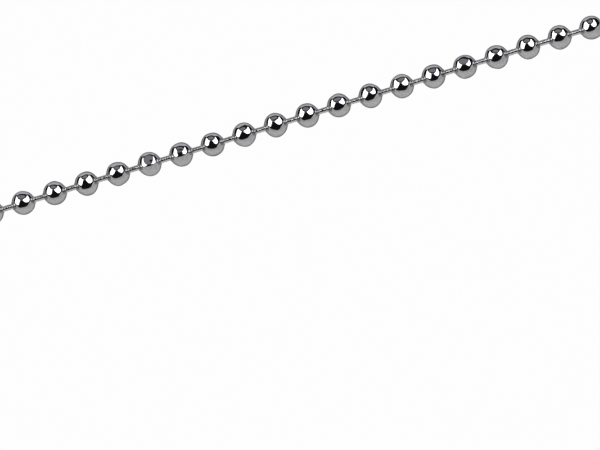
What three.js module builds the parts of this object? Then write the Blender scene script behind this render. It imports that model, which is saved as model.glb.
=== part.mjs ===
// A length of metal ball chain for a roller blind, pulled straight and lying on a flat surface.
// Hollow balls, each rolled from strip, are held together by headed pins whose ends sit inside them.
// Millimetres. +X runs along the chain, +Z is up, and the origin is under its middle, on the surface.
import * as THREE from "three";
import { mergeVertices } from "three/addons/utils/BufferGeometryUtils.js";

const ballCount = 20;

// A ball
const ballDiameter = 4.4; // across the chain
const ballLength = 4.26; // along the chain, a little less than round
const stripThickness = 0.3;
const seamGap = 0.04; // left open where the strip's two edges meet
const neckRise = 0.02; // how far the neck's mouth stands past the round of the ball
const neckFlare = 0.37; // how far the neck spreads from its lip before it joins the round
const lipWidth = 0.06; // flat rim of the neck, round the hole
const holeFlare = 0.14; // how much the hole opens out towards the hollow

// A pin
const pinDiameter = 1.0;
const pinShowing = 1.7; // length seen between two balls, which makes the pitch of the chain 6 mm
const holeClearance = 0.1; // between a pin's shank and the hole that it tilts in
const headPlay = 0.3; // from the inner end of the hole to where a head begins
const headRim = 0.22; // how far a head stands out past the shank
const headCone = 0.3; // length of the cone from the shank to the head's full width
const headBand = 0.25; // length of the head's straight side
const headDome = 0.2; // length of its domed end
const headTip = 0.4; // radius of the flat on the dome

// How finely round forms are cut into facets
const ballFacets = 16;
const pinFacets = 10;
const roundSteps = 7; // odd, so that a flat band runs round a ball's middle
const neckSteps = 2;
const hollowSteps = 3;

// A ball's seam lies anywhere round it, because the balls spin on their pins. Facets from its lowest one.
const seamPlaces = [5, 3, 4, 2, 5, 4, 3];

const ballRadius = ballDiameter / 2;
const pinRadius = pinDiameter / 2;
const holeRadius = pinRadius + holeClearance;
const lipRadius = holeRadius + lipWidth;
const neckRadius = lipRadius + neckFlare;
const neckMouth = ballLength / 2 + neckRise; // from a ball's centre
const holeEnd = neckMouth - stripThickness; // the hole is as long as the strip is thick
const pitch = 2 * neckMouth + pinShowing;
const firstBall = (-(ballCount - 1) / 2) * pitch;

const polished = { roughness: 0.12, metalness: 1 };
const ballMetal = new THREE.MeshStandardMaterial({ color: 0xc9c8cb, ...polished });
const pinMetal = new THREE.MeshStandardMaterial({ color: 0xc2c1c4, ...polished });

// Sections are points of (radius, distance along the chain). Angles run from a ball's middle to its end.
function ellipsePoints(radius, reach, from, to, steps) {
  return Array.from({ length: steps + 1 }, (_, i) => {
    const angle = THREE.MathUtils.lerp(from, to, i / steps);
    return new THREE.Vector2(radius * Math.cos(angle), reach * Math.sin(angle));
  });
}

const mirrored = (points) => points.map((p) => new THREE.Vector2(p.x, -p.y)).reverse();

// The closed section of a ball's wall. Its round is drawn a little wide, so that the flat band round the
// middle touches the true circle, and the neck leaves the round on its tangent and turns outwards.
function ballSection() {
  const reach = ballLength / 2;
  const turn = Math.acos(neckRadius / ballRadius);
  const width = ballRadius / Math.cos(turn / roundSteps);
  const round = ellipsePoints(width, reach, -turn, turn, roundSteps);
  const edge = round.at(-1);
  const fall = reach / (width * Math.tan(turn)); // rise along the chain for each step towards its axis
  const bend = new THREE.Vector2(lipRadius, edge.y + (edge.x - lipRadius) * fall);
  const lip = new THREE.Vector2(lipRadius, neckMouth);
  const neck = new THREE.QuadraticBezierCurve(edge, bend, lip).getPoints(neckSteps).slice(1);

  const hollowRadius = ballRadius - stripThickness;
  const opening = Math.acos((holeRadius + holeFlare) / hollowRadius);
  const hollow = ellipsePoints(hollowRadius, reach - stripThickness, opening, -opening, hollowSteps);
  const hole = [new THREE.Vector2(holeRadius, neckMouth), new THREE.Vector2(holeRadius, holeEnd)];
  return [...mirrored(neck), ...round, ...neck, ...hole, ...hollow, ...mirrored(hole)];
}

// Sweeps a closed section round the chain's axis until its ends nearly meet, and closes both ends.
// Facets touch the true circle from outside, and one of them faces straight down.
function rolledShell(section, facets, gapAngle, seamPlace) {
  const step = (2 * Math.PI - gapAngle) / facets;
  const start = Math.PI - step * (seamPlace + 0.5);
  const widen = 1 / Math.cos(step / 2);
  const positions = [];
  for (let i = 0; i <= facets; i++) {
    const y = widen * Math.sin(start + i * step);
    const z = widen * Math.cos(start + i * step);
    for (const p of section) positions.push(p.y, p.x * y, p.x * z);
  }

  const count = section.length;
  const index = [];
  for (let i = 0; i < facets; i++) {
    for (let k = 0; k < count; k++) {
      const a = i * count + k;
      const b = i * count + ((k + 1) % count);
      index.push(a, b, b + count, a, b + count, a + count);
    }
  }
  const last = facets * count;
  for (const [a, b, c] of THREE.ShapeUtils.triangulateShape(section, [])) {
    index.push(a, c, b, last + a, last + b, last + c);
  }
  return new THREE.BufferGeometry()
    .setAttribute("position", new THREE.Float32BufferAttribute(positions, 3))
    .setIndex(index);
}

// A pin with a head at each end: half its outline and the mirror of it, turned about the chain's axis.
function pinGeometry() {
  const headRadius = pinRadius + headRim;
  const coneStart = pitch / 2 - holeEnd + headPlay; // from the pin's middle
  const bandStart = coneStart + headCone;
  const bandEnd = bandStart + headBand;
  const tip = bandEnd + headDome;
  const half = [
    new THREE.Vector2(pinRadius, coneStart),
    new THREE.Vector2(headRadius, bandStart),
    new THREE.Vector2(headRadius, bandEnd),
    new THREE.Vector2(headTip, tip),
    new THREE.Vector2(0, tip),
  ];
  const lathe = new THREE.LatheGeometry([...mirrored(half), ...half], pinFacets);
  lathe.deleteAttribute("normal");
  lathe.deleteAttribute("uv");
  return mergeVertices(lathe).rotateZ(-Math.PI / 2);
}

const number = (i) => String(i + 1).padStart(2, "0");
const chain = new THREE.Group();
const section = ballSection();

for (let i = 0; i < ballCount; i++) {
  const shell = rolledShell(section, ballFacets, seamGap / ballRadius, seamPlaces[i % seamPlaces.length]);
  const ball = new THREE.Mesh(shell, ballMetal);
  ball.name = `ball_${number(i)}`;
  ball.position.set(firstBall + i * pitch, 0, ballRadius);
  chain.add(ball);
}

for (let i = 0; i < ballCount - 1; i++) {
  const pin = new THREE.Mesh(pinGeometry(), pinMetal);
  pin.name = `pin_${number(i)}`;
  pin.position.set(firstBall + (i + 0.5) * pitch, 0, ballRadius);
  chain.add(pin);
}

export default chain;
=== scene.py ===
import math
import bmesh
import bpy
from mathutils import Matrix, Vector, noise


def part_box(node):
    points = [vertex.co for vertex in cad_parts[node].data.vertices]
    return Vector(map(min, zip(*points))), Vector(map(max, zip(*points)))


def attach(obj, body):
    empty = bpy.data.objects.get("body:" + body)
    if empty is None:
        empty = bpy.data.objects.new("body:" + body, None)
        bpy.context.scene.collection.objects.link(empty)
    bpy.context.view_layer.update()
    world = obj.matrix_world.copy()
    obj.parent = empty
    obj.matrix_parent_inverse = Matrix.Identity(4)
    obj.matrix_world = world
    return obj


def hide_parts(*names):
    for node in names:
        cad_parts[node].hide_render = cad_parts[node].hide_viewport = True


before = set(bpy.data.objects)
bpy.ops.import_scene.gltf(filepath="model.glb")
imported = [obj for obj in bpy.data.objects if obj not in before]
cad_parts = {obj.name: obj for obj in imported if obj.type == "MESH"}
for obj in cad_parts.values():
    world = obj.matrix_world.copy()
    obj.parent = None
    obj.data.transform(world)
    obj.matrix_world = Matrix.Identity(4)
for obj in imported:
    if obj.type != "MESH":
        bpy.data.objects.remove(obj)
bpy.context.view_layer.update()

mm = 0.001
wholeTurn = 2 * math.pi
sameSpot = 1e-8  # metres, within which two points of a mesh are one
noiseSpan = (0.3, 0.7)  # most of a noise texture's values lie between these
print("frame loaded:", len(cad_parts), "nodes")


def linear(hexColour):
    channels = [int(hexColour[i:i + 2], 16) / 255 for i in (1, 3, 5)]
    return [c / 12.92 if c <= 0.04045 else ((c + 0.055) / 1.055) ** 2.4 for c in channels] + [1.0]


def newMaterial(name):
    material = bpy.data.materials.new(name)
    material.use_nodes = True
    material.node_tree.nodes.clear()
    return material


def addNode(material, kind, settings=None, links=None):
    # settings are values by socket or property name, and links are the sockets that feed this node
    node = material.node_tree.nodes.new("ShaderNode" + kind)
    for name, value in (settings or {}).items():
        if name in node.inputs:
            node.inputs[name].default_value = value
        else:
            setattr(node, name, value)
    for name, source in (links or {}).items():
        material.node_tree.links.new(source, node.inputs[name])
    return node


# Nickel plate over rolled steel, tumble polished: a grey mirror, very slightly soft
ballFinish = {
    "tones": ("#bababb", "#c2c2c3"),
    "edgeTint": "#727274",  # its tone at glancing angles
    "roughness": (0.02, 0.09),
    "cloud": 1.43,  # millimetres, the size of its duller places
    "cloudDetail": 3.0,
}


def polishedNickel():
    finish = ballFinish
    material = newMaterial("polished_nickel_plate")
    place = addNode(material, "TexCoord").outputs["Object"]
    cloud = addNode(
        material, "TexNoise",
        {"Scale": 1 / (finish["cloud"] * mm), "Detail": finish["cloudDetail"]},
        {"Vector": place},
    ).outputs["Fac"]
    smoothest, dullest = finish["roughness"]
    gloss = addNode(material, "MapRange", {"To Min": smoothest, "To Max": dullest}, {"Value": cloud})
    tone = addNode(material, "ValToRGB", links={"Fac": cloud})
    for element, position, hexColour in zip(tone.color_ramp.elements, noiseSpan, finish["tones"]):
        element.position = position
        element.color = linear(hexColour)
    metal = addNode(
        material, "BsdfPrincipled",
        {"Metallic": 1.0, "Specular Tint": linear(finish["edgeTint"])},
        {"Base Color": tone.outputs["Color"], "Roughness": gloss.outputs["Result"]},
    )
    addNode(material, "OutputMaterial", links={"Surface": metal.outputs["BSDF"]})
    return material


# Nickel plate over drawn wire: as bright, but wavier, with fine marks round the wire
pinFinish = {
    "tone": "#c6c6c8",
    "edgeTint": "#a0a0a2",  # its tone at glancing angles
    "roughness": (0.05, 0.14),
    "cloud": 1.11,  # millimetres, the size of its duller places
    "markWidth": 0.0625,  # millimetres along the wire
    "markLength": 0.625,  # and round it
    "markDepth": 0.01,
    "detail": 2.0,  # of marks and cloud
}


def platedWire():
    finish = pinFinish
    material = newMaterial("plated_drawn_wire")
    place = addNode(material, "TexCoord").outputs["Object"]
    along, around = 1 / (finish["markWidth"] * mm), 1 / (finish["markLength"] * mm)
    stretched = addNode(material, "Mapping", {"Scale": (along, around, around)}, {"Vector": place})
    marks = addNode(
        material, "TexNoise",
        {"Scale": 1.0, "Detail": finish["detail"]},
        {"Vector": stretched.outputs["Vector"]},
    ).outputs["Fac"]
    bump = addNode(
        material, "Bump",
        {"Strength": 1.0, "Distance": finish["markDepth"] * mm},
        {"Height": marks},
    )
    cloud = addNode(
        material, "TexNoise",
        {"Scale": 1 / (finish["cloud"] * mm), "Detail": finish["detail"]},
        {"Vector": place},
    ).outputs["Fac"]
    smoothest, dullest = finish["roughness"]
    gloss = addNode(material, "MapRange", {"To Min": smoothest, "To Max": dullest}, {"Value": cloud})
    tone, edgeTint = linear(finish["tone"]), linear(finish["edgeTint"])
    metal = addNode(
        material, "BsdfPrincipled",
        {"Metallic": 1.0, "Base Color": tone, "Specular Tint": edgeTint},
        {"Roughness": gloss.outputs["Result"], "Normal": bump.outputs["Normal"]},
    )
    addNode(material, "OutputMaterial", links={"Surface": metal.outputs["BSDF"]})
    return material


ballMetal = polishedNickel()
pinMetal = platedWire()
print("metals made")


def middleOf(node):
    low, high = (Vector(corner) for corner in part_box(node))
    return (low + high) / 2, high - low


ballNodes = sorted(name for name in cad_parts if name.startswith("ball_"))
pinNodes = sorted(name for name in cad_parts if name.startswith("pin_"))
firstCentre, firstSize = middleOf(ballNodes[0])
secondCentre, _ = middleOf(ballNodes[1])
ballRadius = firstSize.z / 2 / mm
pitch = (secondCentre.x - firstCentre.x) / mm
chainHeight = firstCentre.z


def arc(centre, radii, start, end, steps):
    # points on part of an ellipse: distance along the chain, then distance from its axis
    angles = [math.radians(start + (end - start) * i / steps) for i in range(steps + 1)]
    return [(centre[0] + radii[0] * math.cos(a), centre[1] + radii[1] * math.sin(a)) for a in angles]


def spunMesh(points, steps, angle, closed):
    # turns a section about the chain's axis. Points are in millimetres, the mesh is in metres
    bm = bmesh.new()
    verts = [bm.verts.new((x * mm, 0, -r * mm)) for x, r in points]
    edges = [bm.edges.new(pair) for pair in zip(verts, verts[1:])]
    if closed:
        edges.append(bm.edges.new((verts[-1], verts[0])))
    result = bmesh.ops.spin(
        bm, geom=verts + edges, cent=(0, 0, 0), axis=(1, 0, 0), angle=angle, steps=steps,
        use_merge=not closed,
    )
    if closed:
        # the two ends of the turn become the flat faces of the seam
        lastEdges = [item for item in result["geom_last"] if isinstance(item, bmesh.types.BMEdge)]
        for loop in (edges, lastEdges):
            bmesh.ops.contextual_create(bm, geom=loop)
            for edge in loop:
                edge.smooth = False
    bmesh.ops.remove_doubles(bm, verts=bm.verts, dist=sameSpot)
    bmesh.ops.recalc_face_normals(bm, faces=bm.faces)
    # only the seam's faces have more than four corners, and they stay flat
    for face in bm.faces:
        face.smooth = len(face.verts) <= 4
    return bm


def unevenness(point, sizes, seed):
    # slow bulges and dents of the given widths and heights
    skew = 1.7  # each seed starts at another place in the noise
    start = Vector((seed, seed * skew, -seed))
    return sum(height * noise.noise(point / (width * mm) + start) for width, height in sizes)


def fadeOut(place, end, length):
    # 1 as far as that length before the end, and 0 beyond the end
    return max(0.0, min(1.0, (end - place) / length))


def finishPiece(name, bm, node, material):
    centre, _ = middleOf(node)
    bmesh.ops.translate(bm, vec=Vector((centre.x, 0, chainHeight)), verts=bm.verts)
    mesh = bpy.data.meshes.new(name)
    bm.to_mesh(mesh)
    bm.free()
    piece = bpy.data.objects.new(name, mesh)
    bpy.context.collection.objects.link(piece)
    mesh.materials.append(material)
    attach(piece, node)
    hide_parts(node)


# A ball, in millimetres. Its diameter and place come from the frame. Places round it are in degrees from
# straight down, round the far side
ball = {
    "length": 4.31,  # along the chain, pole to pole of its round
    "wall": 0.3,
    "neckMouth": 2.15,  # from the ball's centre
    "holeRadius": 0.6,
    "lipRound": 0.05,
    "neckFillet": 0.25,
    "holeFlare": 0.14,
    "seamGap": 0.04,
    "seamPlaces": [123, 79, 101, 56, 123, 101, 79],
    "around": 96,  # facets round the chain's axis
    "outerSteps": 22,  # facets along it, from the middle to the neck
    "neckSteps": 10,
    "lipSteps": 5,
    "innerSteps": 8,
    "dents": [(2.7, 0.19), (1.4, 0.05), (0.6, 0.002)],  # width and height of its unevenness
    "mostUneven": 0.075,
    "evenNeck": 0.25,  # length by the mouth that stays even
    "evenFade": 1.2,  # and the length over which its unevenness grows from there
    "seed": 11.0,
    "seedStep": 7.3,  # from one ball to the next
    # Some balls are peaked, by a height and a width in degrees
    "peaks": {"ball_04": (259, 0.11, 20), "ball_06": (237, 0.17, 12), "ball_07": (238, 0.15, 14)},
    # Some are pressed a little flat, by a radius in degrees and the share of the roundness that it takes
    "flats": {"ball_06": (210, 24, 0.75), "ball_07": (219, 18, 0.7), "ball_16": (196, 26, 0.4)},
}


def filletOnRound(reach, radius, size, lipCentre, lip):
    # finds where a circle of that size touches both the round and the lip, by halving a range
    halvings = 40
    low, high = math.asin(lipCentre.y / radius), math.pi / 2
    for _ in range(halvings):
        turn = (low + high) / 2
        normal = Vector((math.cos(turn) / reach, math.sin(turn) / radius)).normalized()
        centre = Vector((reach * math.cos(turn), radius * math.sin(turn))) + normal * size
        if (centre - lipCentre).length > size + lip:
            high = turn
        else:
            low = turn
    return turn, centre, normal


def ballSection(radius):
    # closed section of a ball's wall
    reach = ball["length"] / 2
    mouth = ball["neckMouth"]
    hole = ball["holeRadius"]
    lip = ball["lipRound"]
    size = ball["neckFillet"]
    lipCentre = Vector((mouth - lip, hole + lip))
    turn, centre, normal = filletOnRound(reach, radius, size, lipCentre, lip)
    outer = arc((0, 0), (reach, radius), 90, math.degrees(turn), ball["outerSteps"])
    leave = math.degrees(math.atan2(-normal.y, -normal.x)) % 360
    towardsLip = lipCentre - centre
    meet = math.degrees(math.atan2(towardsLip.y, towardsLip.x)) % 360
    neck = arc(centre, (size, size), leave, meet, ball["neckSteps"])[1:]
    rim = arc(lipCentre, (lip, lip), meet - 180, -90, ball["lipSteps"])[1:]
    bore = [(mouth - ball["wall"], hole)]
    innerRadius = radius - ball["wall"]
    opening = math.degrees(math.asin((hole + ball["holeFlare"]) / innerRadius))
    inner = arc((0, 0), (reach - ball["wall"], innerRadius), opening, 90, ball["innerSteps"])
    half = outer + neck + rim + bore + inner
    mirrored = [(-x, r) for x, r in reversed(half)]
    return half[:-1] + mirrored[:-1]


def peak(point, place, height, width):
    # a ridge from neck to neck that falls away on both sides
    around = math.degrees(math.atan2(point.y, -point.z))
    away = abs((around - place + 180) % 360 - 180)
    return height * math.exp(-away / width) * math.hypot(point.y, point.z)


def flat(point, place, radius, share):
    # a round patch that is pressed towards the plane through its edge
    facing = Matrix.Rotation(math.radians(place), 3, "X") @ Vector((0, 0, -1))
    upright = point.dot(facing)
    edge = math.cos(math.radians(radius))
    return share * ballRadius * (edge / upright - 1) if upright > edge else 0.0


def ballShift(direction, node, seed):
    # how far a point of a ball's wall is moved out or in
    shift = unevenness(direction * ballRadius * mm, ball["dents"], seed)
    shift = ball["mostUneven"] * math.tanh(shift / ball["mostUneven"])
    if node in ball["peaks"]:
        shift += peak(direction, *ball["peaks"][node])
    if node in ball["flats"]:
        shift += flat(direction, *ball["flats"][node])
    return shift


gapAngle = ball["seamGap"] / ballRadius
plainBall = spunMesh(ballSection(ballRadius), ball["around"], wholeTurn - gapAngle, closed=True)
evenFrom = ball["neckMouth"] - ball["evenNeck"]
for index, node in enumerate(ballNodes):
    bm = plainBall.copy()
    seam = math.radians(ball["seamPlaces"][index % len(ball["seamPlaces"])])
    bmesh.ops.rotate(bm, cent=(0, 0, 0), matrix=Matrix.Rotation(seam, 3, "X"), verts=bm.verts)
    for vert in bm.verts:
        direction = vert.co.normalized()
        shift = ballShift(direction, node, ball["seed"] + ball["seedStep"] * index)
        vert.co += direction * shift * mm * fadeOut(abs(vert.co.x) / mm, evenFrom, ball["evenFade"])
    finishPiece(node.replace("ball", "bead_shell"), bm, node, ballMetal)
plainBall.free()
print("balls made:", len(ballNodes))


# A pin, in millimetres. Its length comes from the pitch and from the balls' necks
pin = {
    "diameter": 1.0,
    "headRim": 0.22,
    "headPlay": 0.3,
    "headCone": 0.3,
    "headBand": 0.25,
    "headDome": 0.2,
    "headTip": 0.4,
    "rimRound": 0.05,  # the round between a head's cone and its band
    "rimTurn": 20,  # and its degrees
    "rimSet": 0.01,
    "around": 48,  # facets round the chain's axis
    "shankSteps": 72,  # facets along it, from the middle to the head
    "rimSteps": 2,
    "domeSteps": 5,
    "dents": [(1.1, 0.02), (0.4, 0.02)],  # width and height of its unevenness
    "stretch": 0.4,  # below 1, the dents run further round the wire than along it
    "evenFrom": 1.0,  # from its middle. Its ends stay even, so that they tilt freely in the holes
    "evenFade": 0.4,  # and the length over which its unevenness ends there
    "seed": 3.0,
    "seedStep": 5.1,  # from one pin to the next
    "rings": {"spacing": 0.15, "height": 0.0042, "wander": 1.6, "patch": 0.4, "seedStep": 3.7},
}


def pinOutline():
    # half outline of a pin, from the middle of its shank to the middle of its head's end
    radius = pin["diameter"] / 2
    head = radius + pin["headRim"]
    cone = pitch / 2 - (ball["neckMouth"] - ball["wall"]) + pin["headPlay"]
    band = cone + pin["headCone"]
    dome = band + pin["headBand"]
    tip = dome + pin["headDome"]
    steps = pin["shankSteps"]
    shank = [(cone * i / steps, radius) for i in range(steps + 1)]
    edge = pin["rimRound"]
    edgeCentre = (band + pin["rimSet"], head - edge)
    rim = arc(edgeCentre, (edge, edge), 90 + pin["rimTurn"], 90, pin["rimSteps"])
    end = arc((dome, pin["headTip"]), (pin["headDome"], head - pin["headTip"]), 90, 0, pin["domeSteps"])
    return shank + rim + end + [(tip, 0.0)]


def ringMark(point, seed):
    # fine ridges round the wire, which wander a little
    rings = pin["rings"]
    drift = noise.noise(point / (rings["patch"] * mm) + Vector((seed, -seed, seed))) * rings["wander"]
    return rings["height"] * math.sin(wholeTurn * (point.x / mm / rings["spacing"] + drift))


outline = pinOutline()
bothHalves = [(-x, r) for x, r in reversed(outline[1:])] + outline
plainPin = spunMesh(bothHalves, pin["around"], wholeTurn, closed=False)
for index, node in enumerate(pinNodes):
    bm = plainPin.copy()
    for vert in bm.verts:
        away = Vector((0, vert.co.y, vert.co.z)).normalized()
        # drawing and cutting leave waves that run round the wire rather than along it
        stretched = Vector((vert.co.x, vert.co.y * pin["stretch"], vert.co.z * pin["stretch"]))
        shift = unevenness(stretched, pin["dents"], pin["seed"] + pin["seedStep"] * index)
        shift += ringMark(stretched, pin["seed"] + pin["rings"]["seedStep"] * index)
        vert.co += away * shift * mm * fadeOut(abs(vert.co.x) / mm, pin["evenFrom"], pin["evenFade"])
    finishPiece(node.replace("pin", "wire_pin"), bm, node, pinMetal)
plainPin.free()
print("pins made:", len(pinNodes))


# The studio, which only the metal mirrors. Each card is a patch of a sphere round the chain. It has a
# brightness, where 1 shows as plain white, a colour and an outline in degrees of azimuth and elevation.
# Azimuth 0 is the camera's side and grows to the right
cards = {
    "leftWindow": (3.6, "#ffffff", [
        (-143, 43), (-131, 52), (-105, 61), (-67, 68), (-50, 68), (-47, 60), (-48, 40), (-52, 27),
        (-60, 19), (-75, 15), (-88, 13), (-96, 19), (-104, 28), (-112, 34), (-128, 38),
    ]),
    "rightWindow": (3.6, "#ffffff", [
        (9, 69), (45, 69), (70, 64), (95, 55), (115, 46), (126, 40), (118, 36), (103, 34), (92, 29),
        (80, 23), (65, 21), (48, 25), (36, 31), (25, 42), (17, 55),
    ]),
    "bridge": (0.26, "#ffffff", [(-50, 67), (-50, 70), (9, 70), (9, 68)]),
    "ceilingEdge": (0.22, "#e8e6ff", [(-60, 70), (-50, 77), (15, 77), (24, 70)]),
    "ceiling": (0.34, "#f2f0fc", [
        (-180, 58), (-150, 57), (-128, 63), (-105, 71), (-80, 79), (-48, 84), (20, 84), (45, 79),
        (80, 71), (108, 62), (130, 56), (150, 56), (180, 58), (180, 90), (-180, 90),
    ]),
    "backSweep": (0.84, "#fbfbff", [
        (112, -1), (124, 5), (136, 10), (139, 24), (140, 33), (153, 37), (180, 41), (204, 40),
        (207, 24), (208, 11), (222, 7), (238, 3), (246, -1),
    ]),
    "leftSkirt": (0.72, "#ffffff", [
        (-114, 0), (-100, 4), (-85, 5), (-70, 5), (-58, 1), (-52, -4), (-112, -4),
    ]),
    "rightSkirt": (0.72, "#ffffff", [
        (25, -4), (37, 3), (48, 6), (60, 8), (75, 7), (92, 5), (112, -1), (112, -4),
    ]),
}
cardSphere = {
    "radius": 1.6,  # metres
    "cuts": 12,  # across each side of a triangle
    "joinWithin": 0.0005,  # metres
}


def towards(azimuth, elevation, reach):
    a, e = math.radians(azimuth), math.radians(elevation)
    return Vector((math.sin(a) * math.cos(e), -math.cos(a) * math.cos(e), math.sin(e))) * reach


def glowing(name, strength, hexColour):
    material = newMaterial(name)
    glow = addNode(material, "Emission", {"Color": linear(hexColour), "Strength": strength})
    addNode(material, "OutputMaterial", links={"Surface": glow.outputs["Emission"]})
    return material


def stageObject(name, bm, material):
    mesh = bpy.data.meshes.new(name)
    bm.to_mesh(mesh)
    bm.free()
    item = bpy.data.objects.new(name, mesh)
    bpy.context.collection.objects.link(item)
    mesh.materials.append(material)
    return item


def makeCard(name, corners, material):
    bm = bmesh.new()
    # drawn flat, with a degree for a unit, then cut small and wrapped onto the sphere
    bm.faces.new([bm.verts.new((azimuth, elevation, 0)) for azimuth, elevation in corners])
    bm.normal_update()
    bmesh.ops.triangulate(bm, faces=bm.faces)
    bmesh.ops.subdivide_edges(bm, edges=bm.edges, cuts=cardSphere["cuts"], use_grid_fill=True)
    for vert in bm.verts:
        vert.co = towards(vert.co.x, vert.co.y, cardSphere["radius"])
    bmesh.ops.remove_doubles(bm, verts=bm.verts, dist=cardSphere["joinWithin"])
    card = stageObject(name, bm, material)
    card.visible_camera = False


for name, (strength, hexColour, corners) in cards.items():
    makeCard(name, corners, glowing(name + "_light", strength, hexColour))
print("cards made:", len(cards))


# The metal mirrors a pale table, drawn as the half of the sphere under the chain. Its glow is painted
# light on the table:
# brighter straight under the chain, dimmer towards the horizon, and in painted patches of light and
# shade. It ends a little below the horizon on the camera's side
table = {
    "underChain": 0.72,  # brightness
    "farOff": 0.54,
    "dims": (-32, -7),  # elevations between which it goes from one to the other
    # painted patches of light and shade on the table's glow
    "patches": 2.4,  # to a metre
    "patchDetail": 2.0,
    "patchy": 0.35,  # share of the brightness that comes and goes with them
    "outline": [
        (-180, 0), (-90, 0), (-60, -1.8), (-30, -3), (0, -3.5), (30, -3), (60, -1.8), (90, 0),
        (180, 0), (180, -90), (-180, -90),
    ],
}


def tableLight():
    material = newMaterial("table_light")
    place = addNode(material, "TexCoord").outputs["Object"]
    height = addNode(material, "SeparateXYZ", links={"Vector": place}).outputs["Z"]
    low, high = (cardSphere["radius"] * math.sin(math.radians(angle)) for angle in table["dims"])
    # painted light: the table glows brighter under the chain and dims towards the horizon
    strength = addNode(
        material, "MapRange",
        {"From Min": low, "From Max": high, "To Min": table["underChain"], "To Max": table["farOff"]},
        {"Value": height},
    )
    # painted patches of light and shade, which make the glow come and go
    patches = addNode(
        material, "TexNoise",
        {"Scale": table["patches"], "Detail": table["patchDetail"]},
        {"Vector": place},
    )
    least, most = 1 - table["patchy"] / 2, 1 + table["patchy"] / 2
    evenness = addNode(
        material, "MapRange",
        {"From Min": noiseSpan[0], "From Max": noiseSpan[1], "To Min": least, "To Max": most},
        {"Value": patches.outputs["Fac"]},
    )
    uneven = addNode(material, "Math", {"operation": "MULTIPLY"})
    material.node_tree.links.new(strength.outputs["Result"], uneven.inputs[0])
    material.node_tree.links.new(evenness.outputs["Result"], uneven.inputs[1])
    glow = addNode(material, "Emission", links={"Strength": uneven.outputs["Value"]})
    addNode(material, "OutputMaterial", links={"Surface": glow.outputs["Emission"]})
    return material


makeCard("table", table["outline"], tableLight())
print("table made")


# The camera sees plain white all round, and the gaps between the cards are dark
surround = {
    "brightness": 0.985,
    "radius": 1.9,  # metres
    "segments": 48,
    "rings": 24,
    "darkness": "#1a1a1c",
}


def makeSurround():
    bm = bmesh.new()
    bmesh.ops.create_uvsphere(
        bm, u_segments=surround["segments"], v_segments=surround["rings"], radius=surround["radius"],
    )
    item = stageObject("surround", bm, glowing("surround_light", surround["brightness"], "#ffffff"))
    item.visible_glossy = False
    item.visible_diffuse = False
    item.visible_shadow = False
    world = bpy.data.worlds.new("dark_room")
    world.use_nodes = True
    world.node_tree.nodes["Background"].inputs["Color"].default_value = linear(surround["darkness"])
    bpy.context.scene.world = world
    bpy.context.scene.view_settings.view_transform = "Standard"


makeSurround()
print("surround made")


# The camera looks down on the near side of the chain from far off, through a long lens
camera = {
    "elevation": 39.0,  # degrees above the table
    "roll": 17.16,  # degrees that the chain climbs across the picture
    "distance": 1.0,  # metres
    "pixelsPerMm": 5.502,
    "chainMiddle": (291.6, 120.2),  # pixel where the middle of the chain shows
    "picture": (600, 450),  # pixels
    "sensor": 36.0,  # millimetres
    "clipEnd": 20.0,  # metres
}


def makeCamera():
    elevation = math.radians(camera["elevation"])
    roll = math.radians(camera["roll"])
    level = Vector((1, 0, 0))
    upright = Vector((0, math.sin(elevation), math.cos(elevation)))
    right = level * math.cos(roll) - upright * math.sin(roll)
    up = level * math.sin(roll) + upright * math.cos(roll)
    back = right.cross(up)
    scale = 1 / camera["pixelsPerMm"] * mm
    width, height = camera["picture"]
    across = (camera["chainMiddle"][0] - width / 2) * scale
    above = (height / 2 - camera["chainMiddle"][1]) * scale
    target = Vector((0, 0, chainHeight)) - right * across - up * above
    data = bpy.data.cameras.new("camera")
    data.sensor_width = camera["sensor"]
    data.lens = camera["sensor"] * camera["distance"] / (width * scale)
    data.clip_end = camera["clipEnd"]
    eye = bpy.data.objects.new("camera", data)
    bpy.context.collection.objects.link(eye)
    turn = Matrix((right, up, back)).transposed().to_4x4()
    eye.matrix_world = Matrix.Translation(target + back * camera["distance"]) @ turn
    bpy.context.scene.camera = eye


makeCamera()
print("camera set")
